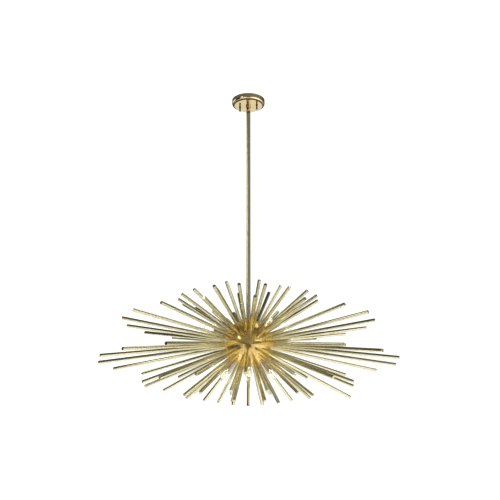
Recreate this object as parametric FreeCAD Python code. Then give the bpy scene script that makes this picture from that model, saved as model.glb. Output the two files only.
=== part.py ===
import FreeCAD, Part
import math
import os

# Starburst pendant chandelier.  A crossbar, canopy and hang-straight swivel hold one stem,
# and the stem holds a hollow hub ball.  Rings of straight brass rods and two rings of small
# lamps are screwed into the ball.
#
# Millimetres, +Z up.  The origin is the middle of the crossbar's upper face, which lies on
# the ceiling, and the crossbar runs along X.  A "drop" is a distance below the ceiling.

# ---- crossbar and canopy ----
bar_length = 108.0
bar_width = 20.0
bar_thickness = 2.5
bar_corner_radius = 6.0
box_slot_spacing = 88.9        # outlet box screws, 3-1/2 in apart
box_slot_length = 10.0
box_slot_radius = 2.3
canopy_radius = 65.0           # 5-1/8 in canopy
canopy_drop = 23.5
canopy_wall = 1.2
canopy_shoulder_radius = 8.5
canopy_face_radius = 56.0
canopy_face_step = 1.6         # the flat face stands proud of the shoulder
stud_spacing = 70.0
stud_radius = 2.0
stud_nut_height = 3.2
stud_nut_width = 7.0
stud_hole_clearance = 0.3
stud_end_gap = 1.0
ground_screw_offset = 18.0
ground_screw_radius = 1.9
ground_head_radius = 3.6
ground_head_height = 2.2

# ---- canopy knobs ----
knob_length = 20.0
knob_flange_radius = 4.0
knob_flange_height = 2.6
knob_neck_radius = 2.9
knob_ball_radius = 3.5
knob_bore_depth = 12.0
knob_bore_clearance = 0.05

# ---- threaded pipe and hang-straight swivel ----
pipe_radius = 5.0
pipe_bore_radius = 3.5
pipe_clearance = 0.1
pipe_nut_width = 14.0
pipe_nut_height = 3.0
collar_radius = 9.5
collar_height = 8.5
collar_lip = 1.8
collar_edge_radius = 1.4
bush_height = 4.0
chamber_radius = 6.8
fork_flange_height = 2.2
fork_flange_gap = 0.3
fork_neck_radius = 4.5
fork_neck_clearance = 0.05
fork_rest_gap = 0.1
fork_radius = 7.5
fork_bridge = 3.5
wire_hole_radius = 2.5
tongue_thickness = 6.0
tongue_side_gap = 0.15
tongue_radius = 6.0
tongue_top_gap = 0.4
swivel_pin_radius = 2.0
swivel_pin_clearance = 0.05
swivel_pin_inset = 0.3
boss_gap = 0.6
boss_height = 8.0
spigot_length = 12.0
spigot_clearance = 0.05

# ---- stem ----
stem_radius = 8.0              # 5/8 in tube
stem_wall = 1.2
stem_length = 839.0
stem_bush_length = 14.0

# ---- hub ball ----
hub_radius = 88.0              # to the flat seats of the stem, the plumb rod and the cups
hub_ball_rise = 0.6            # the ball stands this far above the seats sunk into it
hub_seat_radius = 9.3
hub_cavity_radius = 81.0
hub_cavity_tilts = (90.0, 60.0, 30.0, 0.0, -30.0, -60.0, -90.0)
hub_lip_height = 3.0
hub_lip_radius = 84.4
hub_lip_clearance = 0.1
hub_nut_height = 4.0
pipe_end_below_hub = 10.0

# ---- rods: how many, tilt above the horizon and turn of the first one about Z from the
# ---- -Y side, both in degrees, and reach from the ball's centre to the tip ----
rod_radius = 6.0
rod_thread_depth = 3.5
rod_end_chamfer = 1.0
high_count, high_tilt, high_turn, high_reach = 6, 60.0, 35.0, 248.0
upper_count, upper_tilt, upper_turn, upper_reach = 18, 32.0, 29.0, 312.0
shoulder_count, shoulder_tilt, shoulder_turn, shoulder_reach = 18, 9.3, 18.6, 476.0
waist_count, waist_tilt, waist_turn, waist_reach = 18, -7.8, 28.8, 558.0
skirt_count, skirt_tilt, skirt_turn, skirt_reach = 15, -21.7, 38.5, 422.0
lower_count, lower_tilt, lower_turn, lower_reach = 12, -39.6, 31.7, 312.0
low_count, low_tilt, low_turn, low_reach = 6, -63.2, 47.6, 248.0
long_rod_reach = 494.0         # one skirt rod is longer than its neighbours
long_rod_index = 4
bottom_rod_reach = 232.0
bottom_rod_bore_gap = 1.0

# ---- lamps ----
upper_lamp_tilt, upper_lamp_turn = 21.0, 46.0
lower_lamp_tilt, lower_lamp_turn = -50.0, 16.7
lamp_ring_count = 6
cup_radius = 9.0
cup_wall = 1.0
cup_floor = 2.5
cup_length = 50.0
lamp_pipe_radius = 4.0
lamp_pipe_bore_radius = 2.6
lamp_pipe_length = 12.0
lamp_pipe_inside_cup = 6.0
holder_gap = 0.2
holder_length = 38.0
holder_bore_radius = 5.6
base_radius = 5.4
base_length = 28.0
base_flange_radius = 7.2
base_flange_height = 2.0
bulb_radius = 10.0
bulb_neck_radius = 7.2
bulb_wall = 0.8
bulb_shoulder_length = 6.0
bulb_shoulder_bulge = 2.4      # how far the middle of the shoulder stands out from the neck
bulb_mouth_gap = 0.5
bulb_length = 47.0
filament_foot_radius = 3.2
filament_foot_top_radius = 2.4
filament_foot_length = 12.0
filament_lead_radius = 0.4
filament_lead_offset = 1.6
filament_lead_length = 26.0
filament_radius = 0.6
filament_length = 5.2

# ---- levels that follow from the sizes above ----
swivel_neck_drop = canopy_drop + collar_height + fork_flange_gap
pivot_drop = swivel_neck_drop + fork_bridge + tongue_top_gap + tongue_radius
boss_drop = pivot_drop + fork_radius + boss_gap
stem_drop = boss_drop + boss_height
hub_drop = stem_drop + stem_length + hub_radius
hub_centre = FreeCAD.Vector(0, 0, -hub_drop)

ROD_RINGS = {
    "rods_high": (high_count, high_tilt, high_turn, high_reach),
    "rods_upper": (upper_count, upper_tilt, upper_turn, upper_reach),
    "rods_shoulder": (shoulder_count, shoulder_tilt, shoulder_turn, shoulder_reach),
    "rods_waist": (waist_count, waist_tilt, waist_turn, waist_reach),
    "rods_skirt": (skirt_count, skirt_tilt, skirt_turn, skirt_reach),
    "rods_lower": (lower_count, lower_tilt, lower_turn, lower_reach),
    "rods_low": (low_count, low_tilt, low_turn, low_reach),
}
LAMP_RINGS = {
    "upper": (upper_lamp_tilt, upper_lamp_turn),
    "lower": (lower_lamp_tilt, lower_lamp_turn),
}


def post(radius, top, bottom, x=0.0, y=0.0):
    """Round solid between two drops."""
    return Part.makeCylinder(radius, bottom - top, FreeCAD.Vector(x, y, -bottom))


def tube(radius, bore, top, bottom):
    return post(radius, top, bottom).cut(post(bore, top, bottom))


def hex_nut(width, bore, top, bottom, x=0.0):
    """Nut of one width across its flats, between two drops."""
    corner = width / math.sqrt(3.0)
    corners = [FreeCAD.Vector(x + corner * math.cos(math.radians(60 * k)),
                              corner * math.sin(math.radians(60 * k)), -bottom) for k in range(7)]
    body = Part.Face(Part.makePolygon(corners)).extrude(FreeCAD.Vector(0, 0, bottom - top))
    return body.cut(post(bore, top, bottom, x))


def turned(outline):
    """Solid turned about Z from a closed outline of (radius, height) corners.

    A corner of (middle radius, middle height, radius, height) is reached by an arc
    through its middle point.
    """
    points = [FreeCAD.Vector(corner[-2], 0, corner[-1]) for corner in outline]
    edges = []
    for start, end, corner in zip(points, points[1:] + points[:1], outline[1:] + outline[:1]):
        if len(corner) == 4:
            edges.append(Part.Arc(start, FreeCAD.Vector(corner[0], 0, corner[1]), end).toShape())
        else:
            edges.append(Part.makeLine(start, end))
    return Part.Face(Part.Wire(edges)).revolve(FreeCAD.Vector(0, 0, 0), FreeCAD.Vector(0, 0, 1), 360)


def aimed(shape, tilt, turn):
    """Copy of a shape made along +Z from the ball's centre, aimed at one tilt and turn."""
    up = FreeCAD.Vector(0, 0, 1)
    aim = FreeCAD.Rotation(up, turn).multiply(FreeCAD.Rotation(FreeCAD.Vector(1, 0, 0), 90 - tilt))
    copy = shape.copy()
    copy.Placement = FreeCAD.Placement(hub_centre, aim)
    return copy


def around(shape, count, tilt, first_turn):
    return [aimed(shape, tilt, first_turn + 360.0 * k / count) for k in range(count)]


def in_lamp_ring(shape, ring):
    tilt, first_turn = LAMP_RINGS[ring]
    return around(shape, lamp_ring_count, tilt, first_turn)


def at_every_lamp(shape):
    return in_lamp_ring(shape, "upper") + in_lamp_ring(shape, "lower")


# ---- ceiling parts ----
def stud_places():
    return (-stud_spacing / 2, stud_spacing / 2)


def mounting_bar():
    bar = Part.makeBox(bar_length, bar_width, bar_thickness,
                       FreeCAD.Vector(-bar_length / 2, -bar_width / 2, -bar_thickness))
    bar = bar.makeFillet(bar_corner_radius, [edge for edge in bar.Edges
                                             if abs(edge.BoundBox.ZLength - bar_thickness) < 1e-6])
    holes = [post(pipe_radius, 0, bar_thickness),
             post(ground_screw_radius, 0, bar_thickness, ground_screw_offset)]
    holes += [post(stud_radius, 0, bar_thickness, x) for x in stud_places()]
    for side in (-1, 1):
        middle = side * box_slot_spacing / 2
        half_run = box_slot_length / 2 - box_slot_radius
        holes.append(Part.makeBox(2 * half_run, 2 * box_slot_radius, bar_thickness,
                                  FreeCAD.Vector(middle - half_run, -box_slot_radius, -bar_thickness)))
        holes += [post(box_slot_radius, 0, bar_thickness, middle + end * half_run) for end in (-1, 1)]
    return bar.cut(holes)


def ground_screw():
    shank = post(ground_screw_radius, 0, bar_thickness, ground_screw_offset)
    head = post(ground_head_radius, bar_thickness, bar_thickness + ground_head_height,
                ground_screw_offset)
    return shank.fuse(head)


def canopy_studs():
    end = canopy_drop + knob_bore_depth - stud_end_gap
    return [post(stud_radius, 0, end, x) for x in stud_places()]


def stud_nuts():
    return [hex_nut(stud_nut_width, stud_radius, bar_thickness, bar_thickness + stud_nut_height, x)
            for x in stud_places()]


def canopy_form(inset):
    """Dish form of the canopy, smaller all round by the inset."""
    shoulder_drop = canopy_drop - canopy_face_step - inset
    dish = post(canopy_radius - inset, 0, shoulder_drop)
    rim = [edge for edge in dish.Edges
           if abs(edge.BoundBox.ZMin + shoulder_drop) < 1e-6 and edge.BoundBox.ZLength < 1e-6]
    dish = dish.makeFillet(canopy_shoulder_radius - inset, rim)
    return dish.fuse(post(canopy_face_radius - inset, 0, canopy_drop - inset))


def canopy():
    shell = canopy_form(0).cut(canopy_form(canopy_wall))
    holes = [post(pipe_radius + pipe_clearance, 0, canopy_drop)]
    holes += [post(stud_radius + stud_hole_clearance, 0, canopy_drop, x) for x in stud_places()]
    return shell.cut(holes)


def canopy_knob(x):
    end = canopy_drop + knob_length
    flange = post(knob_flange_radius, canopy_drop, canopy_drop + knob_flange_height, x)
    neck = post(knob_neck_radius, canopy_drop, end - knob_ball_radius, x)
    ball = Part.makeSphere(knob_ball_radius, FreeCAD.Vector(x, 0, -(end - knob_ball_radius)))
    bore = post(stud_radius + knob_bore_clearance, canopy_drop, canopy_drop + knob_bore_depth, x)
    return flange.fuse([neck, ball]).cut(bore)


def ceiling_pipe():
    return tube(pipe_radius, pipe_bore_radius, 0, canopy_drop + bush_height)


def ceiling_pipe_nut():
    return hex_nut(pipe_nut_width, pipe_radius, bar_thickness, bar_thickness + pipe_nut_height)


# ---- hang-straight swivel ----
def swivel_bush():
    return tube(chamber_radius, pipe_radius, canopy_drop, canopy_drop + bush_height)


def swivel_collar():
    end = canopy_drop + collar_height
    body = post(collar_radius, canopy_drop, end)
    lower_edge = [edge for edge in body.Edges
                  if abs(edge.BoundBox.ZMax + end) < 1e-6 and edge.BoundBox.ZLength < 1e-6]
    body = body.makeFillet(collar_edge_radius, lower_edge)
    chamber = post(chamber_radius, canopy_drop, end - collar_lip)
    mouth = post(fork_neck_radius + fork_neck_clearance, canopy_drop, end)
    return body.cut([chamber, mouth])


def swivel_fork():
    """Turns in the collar on its flange, and takes the pin across its two cheeks."""
    flange_bottom = canopy_drop + collar_height - collar_lip - fork_rest_gap
    flange = post(chamber_radius - fork_flange_gap, flange_bottom - fork_flange_height, flange_bottom)
    neck = post(fork_neck_radius, flange_bottom, swivel_neck_drop)
    cheeks = post(fork_radius, swivel_neck_drop, pivot_drop)
    rounded = post(fork_radius, pivot_drop, pivot_drop + fork_radius).common(
        across(fork_radius, 2 * fork_radius))
    slot_width = tongue_thickness + 2 * tongue_side_gap
    slot_top = swivel_neck_drop + fork_bridge
    slot = Part.makeBox(slot_width, 4 * fork_radius, pivot_drop + fork_radius - slot_top,
                        FreeCAD.Vector(-slot_width / 2, -2 * fork_radius, -(pivot_drop + fork_radius)))
    wire_hole = post(wire_hole_radius, flange_bottom - fork_flange_height, slot_top)
    return flange.fuse([neck, cheeks, rounded]).cut([slot, wire_hole, across(swivel_pin_radius,
                                                                            2 * fork_radius)])


def across(radius, length):
    """Round solid along X through the pivot."""
    return Part.makeCylinder(radius, length, FreeCAD.Vector(-length / 2, 0, -pivot_drop),
                             FreeCAD.Vector(1, 0, 0))


def swivel_pin():
    return across(swivel_pin_radius, 2 * (fork_radius - swivel_pin_inset))


def swivel_tongue():
    """Flat tongue in the fork, on a boss whose spigot closes the top of the stem."""
    eye = across(tongue_radius, tongue_thickness)
    blade = Part.makeBox(tongue_thickness, 2 * tongue_radius, boss_drop - pivot_drop,
                         FreeCAD.Vector(-tongue_thickness / 2, -tongue_radius, -boss_drop))
    boss = post(stem_radius, boss_drop, stem_drop)
    spigot = post(stem_radius - stem_wall - spigot_clearance, stem_drop, stem_drop + spigot_length)
    hole = across(swivel_pin_radius + swivel_pin_clearance, tongue_thickness)
    return eye.fuse([blade, boss, spigot]).cut(hole)


# ---- stem ----
def stem():
    return tube(stem_radius, stem_radius - stem_wall, stem_drop, stem_drop + stem_length)


def stem_bush():
    bottom = stem_drop + stem_length
    return tube(stem_radius - stem_wall, pipe_radius, bottom - stem_bush_length, bottom)


# ---- hub ball ----
def lands(radius, tilts):
    """Corners between conical lands that all touch a ball of one radius."""
    corners = []
    for tilt, next_tilt in zip(tilts, tilts[1:]):
        middle = math.radians((tilt + next_tilt) / 2)
        reach = radius / math.cos(math.radians(tilt - next_tilt) / 2)
        corners.append((reach * math.cos(middle), reach * math.sin(middle)))
    return corners


def hub_seat():
    """Cutter along +Z for one flat seat in the ball's outside."""
    return Part.makeCylinder(hub_seat_radius, hub_radius, FreeCAD.Vector(0, 0, hub_radius))


def hub_shell():
    """Hollow ball with a threaded hole for every rod and lamp pipe, and seats at its poles."""
    cavity = turned([(0.0, hub_cavity_radius)] + lands(hub_cavity_radius, hub_cavity_tilts)
                    + [(0.0, -hub_cavity_radius)])
    pole_holes = Part.makeCylinder(pipe_radius + pipe_clearance, 4 * hub_radius,
                                   FreeCAD.Vector(0, 0, -2 * hub_radius))
    shell = Part.makeSphere(hub_radius + hub_ball_rise).cut([cavity, pole_holes])
    shell.Placement = FreeCAD.Placement(hub_centre, FreeCAD.Rotation())
    cutters = at_every_lamp(lamp_pipe_blank()) + at_every_lamp(hub_seat())
    cutters += [aimed(hub_seat(), pole, 0.0) for pole in (90.0, -90.0)]
    for name in ROD_RINGS:
        cutters += rod_ring(name)
    return shell.cut(cutters)


def hub_split_height():
    """Height above the centre of the joint between the halves, midway between two rings."""
    return hub_radius * math.sin(math.radians((shoulder_tilt + waist_tilt) / 2))


def hub_block(radius, low, high):
    """Round block about the hub's axis, between two heights above the ball's centre."""
    return post(radius, hub_drop - high, hub_drop - low)


def hub_upper_shell():
    split = hub_split_height()
    half = hub_shell().common(hub_block(2 * hub_radius, split, 2 * hub_radius))
    recess = hub_block(hub_lip_radius + hub_lip_clearance, split,
                       split + hub_lip_height + hub_lip_clearance)
    return half.cut(recess)


def hub_lower_shell():
    split = hub_split_height()
    half = hub_shell().common(hub_block(2 * hub_radius, -2 * hub_radius, split))
    lip = hub_block(hub_lip_radius, split - hub_lip_height, split + hub_lip_height).cut(
        hub_block(hub_cavity_radius, split - hub_lip_height, split + hub_lip_height))
    return half.fuse(lip).removeSplitter()


def hub_pipe():
    bottom = hub_drop + hub_radius + pipe_end_below_hub
    return tube(pipe_radius, pipe_bore_radius, stem_drop + stem_length - stem_bush_length, bottom)


def hub_nut(height):
    """Nut inside the ball, with its seat at one height above the centre."""
    near, far = sorted((hub_drop - height, hub_drop - height * (1 - hub_nut_height / abs(height))))
    return hex_nut(pipe_nut_width, pipe_radius, near, far)


# ---- rods ----
def rod(reach):
    """Closed tube with a crowned end cap, screwed into a blind hole in the ball."""
    root = hub_radius - rod_thread_depth
    return turned([(0.0, root), (rod_radius, root), (rod_radius, reach - rod_end_chamfer),
                   (rod_radius - rod_end_chamfer, reach), (0.0, reach)])


def rod_ring(name):
    count, tilt, first_turn, reach = ROD_RINGS[name]
    rods = around(rod(reach), count, tilt, first_turn)
    if name == "rods_skirt":
        turn = first_turn + 360.0 * long_rod_index / count
        rods[long_rod_index] = aimed(rod(long_rod_reach), tilt, turn)
    return rods


def bottom_rod():
    """Plumb rod that screws onto the end of the hub's pipe."""
    bore_end = hub_radius + pipe_end_below_hub + bottom_rod_bore_gap
    outline = [(pipe_radius, hub_radius), (rod_radius, hub_radius),
               (rod_radius, bottom_rod_reach - rod_end_chamfer),
               (rod_radius - rod_end_chamfer, bottom_rod_reach), (0.0, bottom_rod_reach),
               (0.0, bore_end), (pipe_radius, bore_end)]
    return aimed(turned(outline), -90.0, 0.0)


# ---- lamps, each made along +Z from the ball's centre ----
def lamp_pipe_span():
    end = hub_radius + lamp_pipe_inside_cup
    return end - lamp_pipe_length, end


def lamp_pipe_blank():
    start, end = lamp_pipe_span()
    return Part.makeCylinder(lamp_pipe_radius, end - start, FreeCAD.Vector(0, 0, start))


def lamp_pipe():
    start, end = lamp_pipe_span()
    return turned([(lamp_pipe_bore_radius, start), (lamp_pipe_radius, start),
                   (lamp_pipe_radius, end), (lamp_pipe_bore_radius, end)])


def cup_mouth():
    return hub_radius + cup_length


def holder_span():
    start = hub_radius + cup_floor
    return start, start + holder_length


def socket_cup():
    bore = cup_radius - cup_wall
    return turned([(lamp_pipe_radius, hub_radius), (cup_radius, hub_radius),
                   (cup_radius, cup_mouth()), (bore, cup_mouth()), (bore, holder_span()[0]),
                   (lamp_pipe_radius, holder_span()[0])])


def lamp_holder():
    start, end = holder_span()
    pipe_end = lamp_pipe_span()[1]
    radius = cup_radius - cup_wall - holder_gap
    return turned([(lamp_pipe_radius, start), (radius, start), (radius, end),
                   (holder_bore_radius, end), (holder_bore_radius, pipe_end),
                   (lamp_pipe_radius, pipe_end)])


def lamp_base():
    """Base in the holder's bore, with a flange that rests on the holder and carries the glass."""
    flange_start = holder_span()[1]
    return turned([(0.0, flange_start - base_length), (base_radius, flange_start - base_length),
                   (base_radius, flange_start), (base_flange_radius, flange_start),
                   (base_flange_radius, flange_start + base_flange_height),
                   (0.0, flange_start + base_flange_height)])


def bulb_start():
    return holder_span()[1] + base_flange_height


def bulb_form(inset):
    """Neck, shoulder and round nose of a capsule bulb, smaller all round by the inset."""
    neck, body = bulb_neck_radius - inset, bulb_radius - inset
    neck_end = cup_mouth() + bulb_mouth_gap
    shoulder_end = neck_end + bulb_shoulder_length
    nose_start = bulb_start() + bulb_length - bulb_radius
    nose_middle = body * math.sqrt(0.5)
    return turned([(0.0, bulb_start()), (neck, bulb_start()), (neck, neck_end),
                   (neck + bulb_shoulder_bulge, neck_end + bulb_shoulder_length / 2,
                    body, shoulder_end),
                   (body, nose_start),
                   (nose_middle, nose_start + nose_middle, 0.0, nose_start + body)])


def bulb():
    """Clear glass envelope, open at the end that stands on the lamp's base."""
    return bulb_form(0).cut(bulb_form(bulb_wall))


def filament():
    """Glass foot inside the bulb, with two lead wires and the filament between their ends."""
    start = bulb_start()
    foot = turned([(0.0, start), (filament_foot_radius, start),
                   (filament_foot_top_radius, start + filament_foot_length),
                   (0.0, start + filament_foot_length)])
    leads = [Part.makeCylinder(filament_lead_radius, filament_lead_length,
                               FreeCAD.Vector(side * filament_lead_offset, 0, start))
             for side in (-1, 1)]
    coil = Part.makeCylinder(filament_radius, filament_length,
                             FreeCAD.Vector(-filament_length / 2, 0, start + filament_lead_length),
                             FreeCAD.Vector(1, 0, 0))
    return foot.fuse(leads + [coil])


def nodes():
    """Every node of the chandelier by name: one solid, or a group of separate solids."""
    left, right = stud_places()
    named = {
        "mounting_bar": mounting_bar(),
        "ground_screw": ground_screw(),
        "canopy_studs": canopy_studs(),
        "stud_nuts": stud_nuts(),
        "canopy": canopy(),
        "canopy_knob_left": canopy_knob(left),
        "canopy_knob_right": canopy_knob(right),
        "ceiling_pipe": ceiling_pipe(),
        "ceiling_pipe_nut": ceiling_pipe_nut(),
        "swivel_bush": swivel_bush(),
        "swivel_collar": swivel_collar(),
        "swivel_fork": swivel_fork(),
        "swivel_pin": swivel_pin(),
        "swivel_tongue": swivel_tongue(),
        "stem": stem(),
        "stem_bush": stem_bush(),
        "hub_pipe": hub_pipe(),
        "hub_top_nut": hub_nut(hub_cavity_radius),
        "hub_bottom_nut": hub_nut(-hub_cavity_radius),
        "hub_upper_shell": hub_upper_shell(),
        "hub_lower_shell": hub_lower_shell(),
        "bottom_rod": bottom_rod(),
        "lamp_pipes": at_every_lamp(lamp_pipe()),
        "lamp_holders": at_every_lamp(lamp_holder()),
        "lamp_bases": at_every_lamp(lamp_base()),
        "lamp_filaments": at_every_lamp(filament()),
    }
    for name in ROD_RINGS:
        named[name] = rod_ring(name)
    for ring in LAMP_RINGS:
        named[ring + "_socket_cups"] = in_lamp_ring(socket_cup(), ring)
        named[ring + "_bulbs"] = in_lamp_ring(bulb(), ring)
    return named


def main():
    os.makedirs("parts", exist_ok=True)
    for name, shape in nodes().items():
        if isinstance(shape, list):
            shape = Part.makeCompound(shape)
        shape.exportStep(os.path.join("parts", name + ".step"))


main()
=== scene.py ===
import math
import random

import bmesh
import bpy
from mathutils import Matrix, Vector


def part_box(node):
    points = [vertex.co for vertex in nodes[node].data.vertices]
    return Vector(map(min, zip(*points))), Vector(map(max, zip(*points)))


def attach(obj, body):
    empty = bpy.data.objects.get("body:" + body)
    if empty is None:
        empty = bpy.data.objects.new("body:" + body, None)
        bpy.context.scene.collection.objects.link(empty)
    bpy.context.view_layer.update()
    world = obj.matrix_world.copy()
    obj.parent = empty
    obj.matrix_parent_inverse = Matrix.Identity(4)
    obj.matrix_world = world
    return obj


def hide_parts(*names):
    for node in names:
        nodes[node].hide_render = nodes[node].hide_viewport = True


# The looks of a starburst pendant chandelier: polished champagne brass rods around an amber
# hub ball, small clear lamps between them, an olive brass stem and a pale brass canopy.
# Metres, +Z up.  The place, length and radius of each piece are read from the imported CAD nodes.

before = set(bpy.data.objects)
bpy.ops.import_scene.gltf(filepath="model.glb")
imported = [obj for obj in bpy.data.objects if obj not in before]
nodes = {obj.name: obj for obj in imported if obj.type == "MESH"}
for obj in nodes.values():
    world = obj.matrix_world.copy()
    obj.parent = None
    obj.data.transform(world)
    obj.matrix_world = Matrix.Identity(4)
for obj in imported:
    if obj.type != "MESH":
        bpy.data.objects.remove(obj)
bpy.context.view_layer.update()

MM = 0.001
UP = Vector((0, 0, 1))
CAD_WELD = 0.002 * MM
MESH_WELD = 0.001 * MM
SHARP_EDGE = math.radians(32)

hub_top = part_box("hub_upper_shell")[1].z
hub_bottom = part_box("hub_lower_shell")[0].z
hub_centre = Vector((0, 0, (hub_top + hub_bottom) / 2))
hub_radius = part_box("hub_lower_shell")[1].x
hub_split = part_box("hub_lower_shell")[1].z - hub_centre.z


# ---- reading round CAD parts ----
def islands(node):
    """Corners of each separate solid of a CAD node."""
    mesh = bmesh.new()
    mesh.from_mesh(nodes[node].data)
    bmesh.ops.remove_doubles(mesh, verts=mesh.verts, dist=CAD_WELD)
    found, seen = [], set()
    for first in mesh.verts:
        if first in seen:
            continue
        seen.add(first)
        island, waiting = [], [first]
        while waiting:
            vert = waiting.pop()
            island.append(vert.co.copy())
            for edge in vert.link_edges:
                other = edge.other_vert(vert)
                if other not in seen:
                    seen.add(other)
                    waiting.append(other)
        found.append(island)
    mesh.free()
    return found


class Turned:
    """One turned CAD solid whose axis starts at a centre: its aim, its two ends and its radius."""

    def __init__(self, corners, centre):
        mean = sum(corners, Vector()) / len(corners)
        self.origin = centre
        self.aim = (mean - centre).normalized()
        along = [(corner - centre).dot(self.aim) for corner in corners]
        self.start, self.end = min(along), max(along)
        self.radius = max((corner - centre - self.aim * reach).length
                          for corner, reach in zip(corners, along))


class Upright:
    """One piece turned about +Z: its lower end, its length, its radius and its bore."""

    def __init__(self, origin, end=0.0, radius=0.0, bore=0.0):
        self.origin, self.aim = origin, UP
        self.end, self.radius, self.bore = end, radius, bore


def turned_solids(node):
    """Each solid of a node that is turned about an axis through the ball's centre."""
    return [Turned(corners, hub_centre) for corners in islands(node)]


def upright_solids(node):
    """Each solid of a node that stands upright."""
    solids = []
    for corners in islands(node):
        low = Vector(min(corner[axis] for corner in corners) for axis in range(3))
        high = Vector(max(corner[axis] for corner in corners) for axis in range(3))
        foot = Vector(((low.x + high.x) / 2, (low.y + high.y) / 2, low.z))
        bore = min(math.hypot(corner.x - foot.x, corner.y - foot.y) for corner in corners)
        solids.append(Upright(foot, high.z - low.z, (high.x - low.x) / 2, bore))
    return solids


# ---- turned meshes ----
def rounded(outline, steps=4):
    """Points (along, radius) of an outline; a corner's third number is its fillet radius."""
    points = []
    for index, corner in enumerate(outline):
        here = Vector(corner[:2])
        fillet = corner[2] if len(corner) > 2 else 0.0
        if not fillet:
            points.append(tuple(here))
            continue
        before = (Vector(outline[index - 1][:2]) - here).normalized()
        after = (Vector(outline[index + 1][:2]) - here).normalized()
        half = before.angle(after) / 2
        reach = fillet / math.tan(half)
        centre = here + (before + after).normalized() * (fillet / math.sin(half))
        start, end = here + before * reach - centre, here + after * reach - centre
        sweep = start.angle_signed(end)
        for step in range(steps + 1):
            turn = Matrix.Rotation(-sweep * step / steps, 2)
            points.append(tuple(centre + turn @ start))
    return points


def lathe(name, places, outline_of, sides=40, seed=1):
    """One mesh of turned pieces: outline_of(place) gives each one's points (along, radius)."""
    rng = random.Random(seed)
    verts, faces, uvs, tones = [], [], [], []
    for place in places:
        outline = outline_of(place)
        tone, offset = rng.random(), rng.random()
        turn = place.aim.to_track_quat("Z", "Y").to_matrix()
        base = len(verts)
        lengths = [0.0]
        for (a0, r0), (a1, r1) in zip(outline, outline[1:]):
            lengths.append(lengths[-1] + math.hypot(a1 - a0, r1 - r0))
        across = 2 * math.pi * max(radius for _, radius in outline) / sides
        for along, radius in outline:
            for side in range(sides):
                angle = 2 * math.pi * side / sides
                local = Vector((radius * math.cos(angle), radius * math.sin(angle), along))
                verts.append(place.origin + turn @ local)
                tones.append(tone)
        for row in range(len(outline) - 1):
            for side in range(sides):
                nxt = (side + 1) % sides
                faces.append((base + row * sides + side, base + row * sides + nxt,
                              base + (row + 1) * sides + nxt, base + (row + 1) * sides + side))
                left, right = side * across + offset, (side + 1) * across + offset
                low, high = lengths[row] + offset, lengths[row + 1] + offset
                uvs += [(left, low), (right, low), (right, high), (left, high)]
    return piece_from(name, verts, faces, uvs, tones)


def piece_from(name, verts, faces, uvs, tones):
    """Smooth mesh with a map in metres and a tone for each of its corners."""
    mesh = bpy.data.meshes.new(name)
    mesh.from_pydata(verts, [], faces)
    layer = mesh.uv_layers.new(name="around_along")
    layer.data.foreach_set("uv", [value for uv in uvs for value in uv])
    mesh.attributes.new("tone", "FLOAT", "POINT").data.foreach_set("value", tones)
    work = bmesh.new()
    work.from_mesh(mesh)
    bmesh.ops.remove_doubles(work, verts=work.verts, dist=MESH_WELD)
    bmesh.ops.dissolve_degenerate(work, edges=work.edges, dist=MESH_WELD)
    bmesh.ops.recalc_face_normals(work, faces=work.faces)
    work.to_mesh(mesh)
    work.free()
    mesh.shade_smooth()
    mesh.set_sharp_from_angle(angle=SHARP_EDGE)
    piece = bpy.data.objects.new(name, mesh)
    bpy.context.scene.collection.objects.link(piece)
    return piece


def settle(piece, material, body, slot, *replaced):
    """Finish, body and hidden CAD nodes of one piece; the slot argument is not used."""
    piece.data.materials.append(material)
    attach(piece, body)
    if replaced:
        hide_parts(*replaced)


# ---- materials ----
MIX_FIRST, MIX_SECOND, MIX_RESULT = 6, 7, 2      # colour sockets of a Mix node
# Brown painted into a crease as its shade.
CREASE_SHADE_BROWN = (0.16, 0.09, 0.03)


def new_material(name):
    """Empty material, its node tree and its shader."""
    material = bpy.data.materials.new(name)
    material.use_nodes = True
    tree = material.node_tree
    shader = tree.nodes["Principled BSDF"]
    return material, tree, shader


def noise(tree, vector, scale, detail=3.0, stretch=None):
    """Value of a noise texture; stretch scales its vector along each axis."""
    if stretch:
        mapping = tree.nodes.new("ShaderNodeMapping")
        mapping.inputs["Scale"].default_value = stretch
        tree.links.new(vector, mapping.inputs["Vector"])
        vector = mapping.outputs["Vector"]
    texture = tree.nodes.new("ShaderNodeTexNoise")
    texture.inputs["Scale"].default_value = scale
    texture.inputs["Detail"].default_value = detail
    tree.links.new(vector, texture.inputs["Vector"])
    return texture.outputs["Fac"]


def spread(tree, value, low, high, out_low, out_high):
    """A value's range from low to high, mapped to another range and held at its ends."""
    node = tree.nodes.new("ShaderNodeMapRange")
    for key, number in (("From Min", low), ("From Max", high),
                        ("To Min", out_low), ("To Max", out_high)):
        node.inputs[key].default_value = number
    tree.links.new(value, node.inputs["Value"])
    return node.outputs["Result"]


def mixed(tree, factor, first, second):
    """Colour between two colours or colour outputs."""
    node = tree.nodes.new("ShaderNodeMix")
    node.data_type = "RGBA"
    tree.links.new(factor, node.inputs["Factor"])
    for socket, value in ((node.inputs[MIX_FIRST], first), (node.inputs[MIX_SECOND], second)):
        if hasattr(value, "links"):
            tree.links.new(value, socket)
        else:
            socket.default_value = (*value, 1.0)
    return node.outputs[MIX_RESULT]


def bumped(tree, shader, height, strength, distance):
    """Bump of a height on the shader's normal."""
    node = tree.nodes.new("ShaderNodeBump")
    node.inputs["Strength"].default_value = strength
    node.inputs["Distance"].default_value = distance
    tree.links.new(height, node.inputs["Height"])
    tree.links.new(node.outputs["Normal"], shader.inputs["Normal"])


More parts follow.
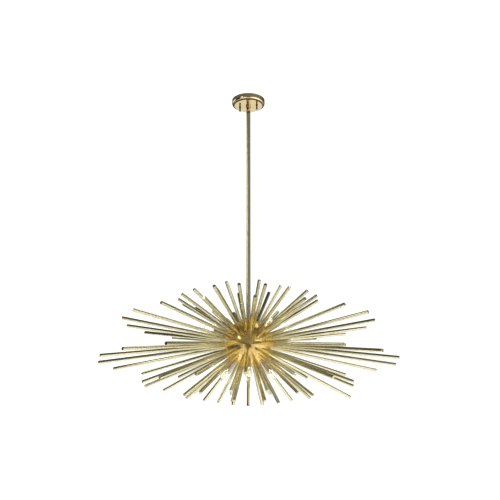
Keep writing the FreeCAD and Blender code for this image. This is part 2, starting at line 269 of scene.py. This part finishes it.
def ring_places(tree, places):
    """Distance from the upright axis, and a vector of it and the height, for turned lines."""
    flat = tree.nodes.new("ShaderNodeVectorMath")
    flat.operation = "MULTIPLY"
    tree.links.new(places, flat.inputs[0])
    flat.inputs[1].default_value = (1.0, 1.0, 0.0)
    length = tree.nodes.new("ShaderNodeVectorMath")
    length.operation = "LENGTH"
    tree.links.new(flat.outputs["Vector"], length.inputs[0])
    split = tree.nodes.new("ShaderNodeSeparateXYZ")
    tree.links.new(places, split.inputs[0])
    joined = tree.nodes.new("ShaderNodeCombineXYZ")
    tree.links.new(length.outputs["Value"], joined.inputs["X"])
    tree.links.new(split.outputs["Z"], joined.inputs["Y"])
    return length.outputs["Value"], joined.outputs["Vector"]


def arithmetic(tree, operation, first, second=0.0):
    """Result of one sum; the second may be a number."""
    node = tree.nodes.new("ShaderNodeMath")
    node.operation = operation
    tree.links.new(first, node.inputs[0])
    if hasattr(second, "links"):
        tree.links.new(second, node.inputs[1])
    else:
        node.inputs[1].default_value = second
    return node.outputs[0]


def polished_metal(name, light, dark, rough_low, rough_high, grain="plain", tarnish=0.35,
                   metallic=1.0, crease=None):
    """Metal with patches of tarnish, fine lines of its making, smears and a soft bump.

    grain: "turned" follows a turned piece's own map, "drawn" runs up and down, "spun" goes
    round the upright axis.  crease: radius of a ring of painted brown shade in a crease.
    """
    material, tree, shader = new_material(name)
    shader.inputs["Metallic"].default_value = metallic
    places = tree.nodes.new("ShaderNodeTexCoord").outputs["Object"]
    patches = noise(tree, places, scale=34.0, detail=4.0)
    colour = mixed(tree, spread(tree, patches, 0.42, 0.72, 0.0, tarnish), light, dark)
    if grain == "turned":
        tone = tree.nodes.new("ShaderNodeAttribute")
        tone.attribute_name = "tone"
        colour = mixed(tree, spread(tree, tone.outputs["Fac"], 0.0, 1.0, 0.0, 0.3), colour, dark)
        uv = tree.nodes.new("ShaderNodeUVMap")
        uv.uv_map = "around_along"
        lines = noise(tree, uv.outputs["UV"], scale=1.0, detail=2.0, stretch=(5200.0, 60.0, 1.0))
    elif grain == "drawn":
        lines = noise(tree, places, scale=1.0, detail=2.0, stretch=(1600.0, 1600.0, 24.0))
    elif grain == "spun":
        lines = noise(tree, ring_places(tree, places)[1], scale=1500.0, detail=2.0)
    else:
        lines = noise(tree, places, scale=900.0, detail=2.0)
    smears = noise(tree, places, scale=90.0, detail=5.0)
    worn = arithmetic(tree, "ADD", arithmetic(tree, "MULTIPLY", lines, 0.5), smears)
    rough = spread(tree, worn, 0.5, 1.05, rough_low, rough_high)
    # Painted shade: a soft brown ring at the crease radius darkens the crease where shade would fall.
    if crease:
        core, fringe, strength = 1.9 * MM, 3.6 * MM, 0.92
        past = arithmetic(tree, "SUBTRACT", ring_places(tree, places)[0], crease)
        crease_shade = spread(tree, arithmetic(tree, "ABSOLUTE", past), core, fringe, strength, 0.0)
        colour = mixed(tree, crease_shade, colour, CREASE_SHADE_BROWN)
    tree.links.new(colour, shader.inputs["Base Color"])
    tree.links.new(rough, shader.inputs["Roughness"])
    bumped(tree, shader, lines, strength=0.08, distance=0.01 * MM)
    return material


def lacquered(material):
    """The same metal under a glossy, strongly mirroring coat of lacquer."""
    shader = material.node_tree.nodes["Principled BSDF"]
    for socket, number in (("Coat Weight", 1.0), ("Coat Roughness", 0.02), ("Coat IOR", 2.4)):
        shader.inputs[socket].default_value = number
    return material


def clear_glass(name):
    """Clear glass with faint ripples and a trace of dust."""
    material, tree, shader = new_material(name)
    shader.inputs["Transmission Weight"].default_value = 1.0
    shader.inputs["IOR"].default_value = 1.46
    places = tree.nodes.new("ShaderNodeTexCoord").outputs["Object"]
    dust = noise(tree, places, scale=160.0, detail=5.0)
    clean, dusty = (0.99, 0.99, 0.985), (0.93, 0.92, 0.88)
    tree.links.new(mixed(tree, spread(tree, dust, 0.5, 0.8, 0.0, 1.0), clean, dusty),
                   shader.inputs["Base Color"])
    tree.links.new(spread(tree, dust, 0.45, 0.8, 0.0, 0.07), shader.inputs["Roughness"])
    ripples = noise(tree, places, scale=70.0, detail=1.0)
    bumped(tree, shader, ripples, strength=0.2, distance=0.1 * MM)
    return material


def lamp_mount(name):
    """Cloudy glass foot where the tone is 0, nickel and tungsten wire where it is 1."""
    material, tree, shader = new_material(name)
    places = tree.nodes.new("ShaderNodeTexCoord").outputs["Object"]
    tone = tree.nodes.new("ShaderNodeAttribute")
    tone.attribute_name = "tone"
    specks = noise(tree, places, scale=1200.0, detail=3.0)
    glass = mixed(tree, specks, (0.88, 0.89, 0.87), (0.72, 0.73, 0.70))
    wire = mixed(tree, specks, (0.62, 0.60, 0.57), (0.40, 0.38, 0.36))
    tree.links.new(mixed(tree, tone.outputs["Fac"], glass, wire), shader.inputs["Base Color"])
    tree.links.new(tone.outputs["Fac"], shader.inputs["Metallic"])
    tree.links.new(spread(tree, specks, 0.3, 0.7, 0.12, 0.3), shader.inputs["Roughness"])
    bumped(tree, shader, specks, strength=0.15, distance=0.02 * MM)
    return material


def glazed(name, light, dark):
    """Glazed ceramic with specks and a slight orange peel."""
    material, tree, shader = new_material(name)
    places = tree.nodes.new("ShaderNodeTexCoord").outputs["Object"]
    specks = noise(tree, places, scale=700.0, detail=4.0)
    tree.links.new(mixed(tree, spread(tree, specks, 0.55, 0.8, 0.0, 1.0), light, dark),
                   shader.inputs["Base Color"])
    tree.links.new(spread(tree, specks, 0.3, 0.7, 0.22, 0.4), shader.inputs["Roughness"])
    peel = noise(tree, places, scale=260.0, detail=2.0)
    bumped(tree, shader, peel, strength=0.2, distance=0.05 * MM)
    return material


CANOPY_CREASE = 58.6 * MM      # radius of the ring of painted shade, on the shoulder just outside the canopy's raised face

rod_brass = polished_metal("rod_brass", (0.95, 0.90, 0.67), (0.86, 0.79, 0.50), 0.03, 0.08, "turned")
hub_gold = lacquered(polished_metal("hub_gold", (0.94, 0.71, 0.23), (0.82, 0.54, 0.11), 0.22, 0.34,
                                    metallic=0.85, tarnish=0.6))
stem_brass = polished_metal("stem_brass", (0.93, 0.87, 0.62), (0.83, 0.75, 0.46), 0.16, 0.26, "drawn")
swivel_brass = polished_metal("swivel_brass", (0.56, 0.45, 0.28), (0.38, 0.29, 0.17), 0.08, 0.18, "spun")
canopy_brass = polished_metal("canopy_brass", (0.98, 0.85, 0.57), (0.90, 0.74, 0.47), 0.05, 0.12, "spun",
                              crease=CANOPY_CREASE)
knob_brass = polished_metal("knob_brass", (0.24, 0.19, 0.10), (0.13, 0.08, 0.04), 0.14, 0.30)
cup_brass = polished_metal("cup_brass", (0.80, 0.73, 0.68), (0.62, 0.54, 0.48), 0.08, 0.20, "turned")
zinc = polished_metal("zinc", (0.76, 0.76, 0.74), (0.56, 0.56, 0.55), 0.22, 0.42)
green_zinc = polished_metal("green_zinc", (0.10, 0.40, 0.20), (0.05, 0.22, 0.10), 0.25, 0.45)
lamp_metal = polished_metal("lamp_metal", (0.84, 0.82, 0.78), (0.66, 0.63, 0.58), 0.15, 0.35)
bulb_glass = clear_glass("bulb_glass")
ceramic = glazed("ceramic", (0.88, 0.86, 0.80), (0.62, 0.58, 0.50))


# ---- rods ----
def rod_outline(place):
    """Tube with a small lead-in at the ball and a domed cap pressed into a rolled end."""
    radius, start, end = place.radius, place.start, place.end
    lead_in, roll, roll_width, lip = 0.5 * MM, 1.1 * MM, 2.0 * MM, 0.3 * MM
    seam, seam_radius = end - 5.0 * MM, radius - 0.18 * MM
    seam_near, seam_far, seam_width = 0.15 * MM, 0.45 * MM, 0.6 * MM
    cap_edge, cap_crown, cap_radius = end - 0.35 * MM, end - 0.3 * MM, radius - 2.3 * MM
    return rounded([(start, 0.0), (start, radius, lead_in),
                    (seam, radius), (seam + seam_near, seam_radius),
                    (seam + seam_far, seam_radius), (seam + seam_width, radius),
                    (end, radius, roll), (end, radius - roll_width, lip),
                    (cap_edge, cap_radius), (cap_crown, 0.0)])


for index, ring in enumerate(("high", "upper", "shoulder", "waist", "skirt", "lower", "low")):
    node = "rods_" + ring
    rods = lathe(node + "_polished", turned_solids(node), rod_outline, seed=10 + index)
    settle(rods, rod_brass, "pendant", "rod_brass", node)
plumb = lathe("bottom_rod_polished", turned_solids("bottom_rod"), rod_outline, seed=20)
settle(plumb, rod_brass, "pendant", "rod_brass", "bottom_rod")


# ---- hub ball ----
def ball_arc(low, high, steps=64):
    """Outline of the ball between two heights above its centre."""
    first, last = math.asin(low / hub_radius), math.asin(high / hub_radius)
    angles = [first + (last - first) * step / steps for step in range(steps + 1)]
    return [(hub_radius * math.sin(a), hub_radius * math.cos(a)) for a in angles]


def ball_outline(place):
    """Polished ball with flat seats at its poles and a fine groove where its halves meet."""
    seat_depth, groove, depth = 0.4 * MM, 0.35 * MM, 0.5 * MM
    seat = (hub_top - hub_bottom) / 2 - seat_depth
    lower = ball_arc(-seat, hub_split - groove)
    upper = ball_arc(hub_split + groove, seat)
    dip = [(hub_split - groove, lower[-1][1] - depth), (hub_split + groove, upper[0][1] - depth)]
    return [(-seat, 0.0)] + lower + dip + upper + [(seat, 0.0)]


ball = lathe("hub_ball_polished", [Upright(hub_centre)], ball_outline, sides=128)
settle(ball, hub_gold, "pendant", "plated_hub", "hub_upper_shell", "hub_lower_shell")


# ---- lamp cups ----
def cup_outline(place):
    """Closed foot, a row of soft ribs, and a rolled lip round the lamp's neck."""
    radius, start, end = place.radius, place.start, place.end
    foot_roll, lip_roll, lip_depth = 0.8 * MM, 0.35 * MM, 4.0 * MM
    inside, floor_height = radius - 1.0 * MM, start + 2.5 * MM
    low, high = start + 6.0 * MM, end - 3.0 * MM
    rib, rib_depth, rib_steps = 5.5 * MM, 0.45 * MM, 8
    points = rounded([(start, 0.0), (start, radius, foot_roll), (low, radius)])
    for index in range(int((high - low) / rib) * rib_steps):
        swell = abs(math.sin(math.pi * index / rib_steps))
        points.append((low + rib * index / rib_steps, radius - rib_depth * (1 - swell)))
    points += rounded([(high, radius), (end, radius, lip_roll), (end, inside, lip_roll),
                       (end - lip_depth, inside)])
    return points + [(floor_height, inside), (floor_height, 0.0)]


for index, side in enumerate(("upper", "lower")):
    node = side + "_socket_cups"
    cups = lathe(node + "_ribbed", turned_solids(node), cup_outline, seed=30 + index)
    settle(cups, cup_brass, "pendant", "cup_brass", node)


# ---- threads and filaments ----
def threaded(radius, start, end, pitch, depth):
    """Outline of a row of crests between two heights; the rest is in shares of the pitch."""
    first, crest_near, crest_far, last = 0.25, 0.35, 0.5, 0.2
    root = radius - depth
    points = [(start, root)]
    for index in range(int((end - start) / pitch - crest_far)):
        foot = start + (index + first) * pitch
        points += [(foot, root), (foot + crest_near * pitch, radius), (foot + crest_far * pitch, radius)]
    return points + [(end - last * pitch, root), (end, root)]


def stud_outline(place):
    """Threaded stud."""
    crests = threaded(place.radius, 0.0, place.end, pitch=0.8 * MM, depth=0.35 * MM)
    return [(0.0, 0.0)] + crests + [(place.end, 0.0)]


studs = lathe("canopy_studs_threaded", upright_solids("canopy_studs"), stud_outline, seed=40)
settle(studs, zinc, "ceiling", "zinc_steel", "canopy_studs")


def pipe_outline(place):
    """Threaded tube with its bore."""
    crests = threaded(place.radius, 0.0, place.end, pitch=1.0 * MM, depth=0.4 * MM)
    return [(0.0, place.bore)] + crests + [(place.end, place.bore), (0.0, place.bore)]


pipe = lathe("ceiling_pipe_threaded", upright_solids("ceiling_pipe"), pipe_outline, seed=41)
settle(pipe, zinc, "ceiling", "zinc_steel", "ceiling_pipe")


class Strand:
    """Rings of a tube along a path, gathered with other strands into one mesh."""

    def __init__(self):
        self.verts, self.faces, self.uvs, self.tones = [], [], [], []

    def tube(self, path, radii, tone, sides=12):
        """Closed tube through the points of a path, with a radius for each."""
        base, length = len(self.verts), 0.0
        for index, (point, radius) in enumerate(zip(path, radii)):
            ahead = path[min(index + 1, len(path) - 1)] - path[max(index - 1, 0)]
            turn = ahead.to_track_quat("Z", "Y").to_matrix()
            for side in range(sides):
                angle = 2 * math.pi * side / sides
                local = Vector((radius * math.cos(angle), radius * math.sin(angle), 0))
                self.verts.append(point + turn @ local)
                self.tones.append(tone)
        for row in range(len(path) - 1):
            step = (path[row + 1] - path[row]).length
            for side in range(sides):
                nxt = (side + 1) % sides
                a, b = base + row * sides, base + (row + 1) * sides
                self.faces.append((a + side, a + nxt, b + nxt, b + side))
                left, right = side * radii[row], (side + 1) * radii[row]
                self.uvs += [(left, length), (right, length),
                             (right, length + step), (left, length + step)]
            length += step
        for first in (base + (len(path) - 1) * sides, base):
            cap = tuple(first + side for side in range(sides))
            self.faces.append(cap if first != base else cap[::-1])
            self.uvs += [(0.0, 0.0)] * sides


def lamp_mounts(node):
    """Each lamp's pinched glass foot, its two lead wires and the coiled filament they carry."""
    strand = Strand()
    foot_length, lead, lead_offset = 12.0 * MM, 0.4 * MM, 1.6 * MM
    foot_shape = ((0.0, 3.2), (0.2, 3.15), (0.5, 2.8), (0.8, 2.45), (0.95, 2.1), (1.0, 1.2))
    sink, loop, wire, turns, turn_steps = 0.6 * MM, 0.45 * MM, 0.14 * MM, 9, 14
    for corners in islands(node):
        lamp = Turned(corners, hub_centre)
        wires_start = lamp.start + 2 * foot_length
        offsets = [(corner - hub_centre) - lamp.aim * (corner - hub_centre).dot(lamp.aim)
                   for corner in corners if (corner - hub_centre).dot(lamp.aim) > wires_start]
        across = max(offsets, key=lambda offset: offset.length).normalized()
        beside = lamp.aim.cross(across)
        top = lamp.end - sink - lamp.start

        def place(x, y, along):
            return hub_centre + across * x + beside * y + lamp.aim * (lamp.start + along)

        strand.tube([place(0, 0, share * foot_length) for share, _ in foot_shape],
                    [radius * MM for _, radius in foot_shape], 0.0, sides=28)
        lead_path = ((0.7, 0.9 * foot_length), (0.75, 0.6 * top), (1.0, 0.85 * top), (1.0, top))
        for side in (-1, 1):
            strand.tube([place(side * lead_offset * share, 0, height) for share, height in lead_path],
                        [lead] * len(lead_path), 1.0)
        coil = []
        for step in range(turns * turn_steps + 1):
            share = step / (turns * turn_steps)
            angle = 2 * math.pi * step / turn_steps
            coil.append(place(lead_offset * (2.0 * share - 1.0), loop * math.sin(angle),
                              top + loop * math.cos(angle)))
        strand.tube(coil, [wire] * len(coil), 1.0, sides=8)
    return piece_from(node + "_coiled", strand.verts, strand.faces, strand.uvs, strand.tones)


mounts = lamp_mounts("lamp_filaments")
settle(mounts, lamp_mount("lamp_mount"), "pendant", "lamp_wire", "lamp_filaments")


# ---- carried-over CAD nodes ----
CARRIED = {
    "mounting_bar": zinc, "ground_screw": green_zinc, "stud_nuts": zinc,
    "canopy": canopy_brass, "canopy_knob_left": knob_brass, "canopy_knob_right": knob_brass,
    "ceiling_pipe_nut": zinc, "swivel_bush": zinc,
    "swivel_collar": swivel_brass, "swivel_fork": swivel_brass, "swivel_pin": zinc,
    "swivel_tongue": swivel_brass, "stem": stem_brass, "stem_bush": zinc, "hub_pipe": zinc,
    "hub_top_nut": zinc, "hub_bottom_nut": zinc, "lamp_pipes": zinc, "lamp_holders": ceramic,
    "lamp_bases": lamp_metal, "upper_bulbs": bulb_glass, "lower_bulbs": bulb_glass,
}
for node, material in CARRIED.items():
    nodes[node].data.materials.clear()
    nodes[node].data.materials.append(material)


# ---- floor, light and camera ----
VIEW_TURN = math.radians(16.0)
TO_CAMERA = Vector((math.sin(VIEW_TURN), -math.cos(VIEW_TURN), 0.0))
TO_RIGHT = Vector((math.cos(VIEW_TURN), math.sin(VIEW_TURN), 0.0))


def floor():
    """Round pale floor well below the lamp."""
    radius, drop, sides = 4.4, 2.6, 96
    turns = [2 * math.pi * side / sides for side in range(sides)]
    z = hub_centre.z - drop
    mesh = bpy.data.meshes.new("floor")
    mesh.from_pydata([(radius * math.cos(turn), radius * math.sin(turn), z) for turn in turns], [],
                     [tuple(range(sides))])
    plane = bpy.data.objects.new("floor", mesh)
    bpy.context.scene.collection.objects.link(plane)
    material, tree, shader = new_material("pale_floor")
    places = tree.nodes.new("ShaderNodeTexCoord").outputs["Object"]
    grain = noise(tree, places, scale=3.0, detail=4.0)
    tree.links.new(mixed(tree, grain, (0.70, 0.70, 0.69), (0.74, 0.74, 0.73)),
                   shader.inputs["Base Color"])
    shader.inputs["Roughness"].default_value = 0.9
    mesh.materials.append(material)


def heading(bearing, rise):
    """Direction turned from the camera towards the right, and raised, in degrees."""
    bearing, rise = math.radians(bearing), math.radians(rise)
    flat = math.cos(bearing) * TO_CAMERA + math.sin(bearing) * TO_RIGHT
    return math.cos(rise) * flat + math.sin(rise) * UP


def softbox(name, place, width, height, radiance, mirrored=True):
    """Area light of a given brightness, placed from the ball and aimed at it."""
    light = bpy.data.lights.new(name, "AREA")
    light.shape = "RECTANGLE"
    light.size, light.size_y = width, height
    light.energy = radiance * math.pi * width * height
    lamp = bpy.data.objects.new(name, light)
    lamp.location = hub_centre + place
    lamp.rotation_euler = (hub_centre - lamp.location).to_track_quat("-Z", "Y").to_euler()
    lamp.visible_camera = False
    lamp.visible_glossy = lamp.visible_transmission = mirrored
    bpy.context.scene.collection.objects.link(lamp)


def graded(tree, value, stops):
    """Grey that follows stops (value, grey) of a value from -1 to 1."""
    ramp = tree.nodes.new("ShaderNodeValToRGB")
    tree.links.new(spread(tree, value, -1.0, 1.0, 0.0, 1.0), ramp.inputs["Fac"])
    elements = ramp.color_ramp.elements
    while len(elements) < len(stops):
        elements.new(0.5)
    for element, (place, grey) in zip(elements, stops):
        element.position = (place + 1.0) / 2
        element.color = (grey, grey, grey, 1.0)
    return ramp.outputs["Color"]


def facing(tree, direction, way):
    """How far a direction points along a fixed one, from -1 to 1."""
    node = tree.nodes.new("ShaderNodeVectorMath")
    node.operation = "DOT_PRODUCT"
    tree.links.new(direction, node.inputs[0])
    node.inputs[1].default_value = way
    return node.outputs["Value"]


def studio_world():
    """White backdrop; reflections see a studio that is bright below, dark above and darker behind."""
    world = bpy.data.worlds.new("studio")
    bpy.context.scene.world = world
    world.use_nodes = True
    tree = world.node_tree
    background = tree.nodes["Background"]
    direction = tree.nodes.new("ShaderNodeTexCoord").outputs["Generated"]
    height = facing(tree, direction, UP)
    front = graded(tree, height, ((-0.45, 1.25), (-0.2, 0.9), (-0.02, 0.34), (0.1, 0.28), (0.45, 0.27),
                                  (0.6, 0.07)))
    back = graded(tree, height, ((-0.6, 0.95), (-0.4, 0.8), (-0.15, 0.2), (0.15, 0.14), (0.5, 0.12),
                                 (0.8, 0.27), (1.0, 0.07)))
    ahead = spread(tree, facing(tree, direction, TO_CAMERA), -0.55, 0.1, 0.0, 1.0)
    grey = mixed(tree, ahead, back, front)
    side = spread(tree, facing(tree, direction, TO_RIGHT), -0.6, 0.6, 0.7, 1.0)
    dark_below = spread(tree, facing(tree, direction, heading(0, -24)), 0.93, 0.98, 1.0, 0.04)
    dark_left = spread(tree, facing(tree, direction, heading(-75, -18)), 0.72, 0.92, 1.0, 0.1)
    level = arithmetic(tree, "MULTIPLY", arithmetic(tree, "MULTIPLY", side, dark_below), dark_left)
    scaled = tree.nodes.new("ShaderNodeVectorMath")
    scaled.operation = "SCALE"
    tree.links.new(grey, scaled.inputs[0])
    tree.links.new(level, scaled.inputs["Scale"])
    path = tree.nodes.new("ShaderNodeLightPath")
    straight = arithmetic(tree, "MAXIMUM", path.outputs["Is Camera Ray"],
                          path.outputs["Is Transmission Ray"])
    tree.links.new(mixed(tree, straight, scaled.outputs["Vector"], (1.0, 1.0, 1.0)),
                   background.inputs["Color"])


def camera():
    """Camera a little below the ball, looking up, framed for a square picture."""
    distance, drop, pitch = 2.7695, 0.4258, math.radians(12.97)
    data = bpy.data.cameras.new("camera")
    data.sensor_width, data.lens = 36.0, 53.92
    data.shift_x, data.shift_y = 0.0032, 0.0756
    eye = bpy.data.objects.new("camera", data)
    eye.location = hub_centre + distance * TO_CAMERA - drop * UP
    eye.rotation_euler = (math.pi / 2 + pitch, 0.0, VIEW_TURN)
    bpy.context.scene.collection.objects.link(eye)
    bpy.context.scene.camera = eye


def glow(name, bulb):
    """Weak warm light in the middle of a bulb."""
    light = bpy.data.lights.new(name, "POINT")
    light.color = (1.0, 0.72, 0.36)
    light.energy = 0.12
    light.shadow_soft_size = 8.0 * MM
    lamp = bpy.data.objects.new(name, light)
    lamp.location = bulb.origin + bulb.aim * (bulb.start + bulb.end) / 2
    lamp.visible_camera = lamp.visible_transmission = False
    bpy.context.scene.collection.objects.link(lamp)


floor()
for side in ("upper", "lower"):
    nodes[side + "_bulbs"].visible_shadow = False
    for index, bulb in enumerate(turned_solids(side + "_bulbs")):
        glow("glow_%s_%d" % (side, index), bulb)
softbox("softbox_left", 4.1 * heading(-45, 21.5), width=1.0, height=1.5, radiance=1.9)
softbox("softbox_side", 3.3 * heading(-115, 28), width=2.0, height=1.4, radiance=1.0)
softbox("softbox_right", 4.0 * heading(55, 3), width=3.6, height=0.65, radiance=1.3)
softbox("softbox_high", 1.9 * TO_RIGHT - 1.0 * TO_CAMERA + 3.4 * UP,
        width=2.2, height=2.0, radiance=0.9)
softbox("overhead", 3.2 * UP, width=10.0, height=10.0, radiance=2.2, mirrored=False)
studio_world()
camera()
view = bpy.context.scene.view_settings
view.view_transform = "Standard"
view.gamma = 0.76
view.exposure = 0.2
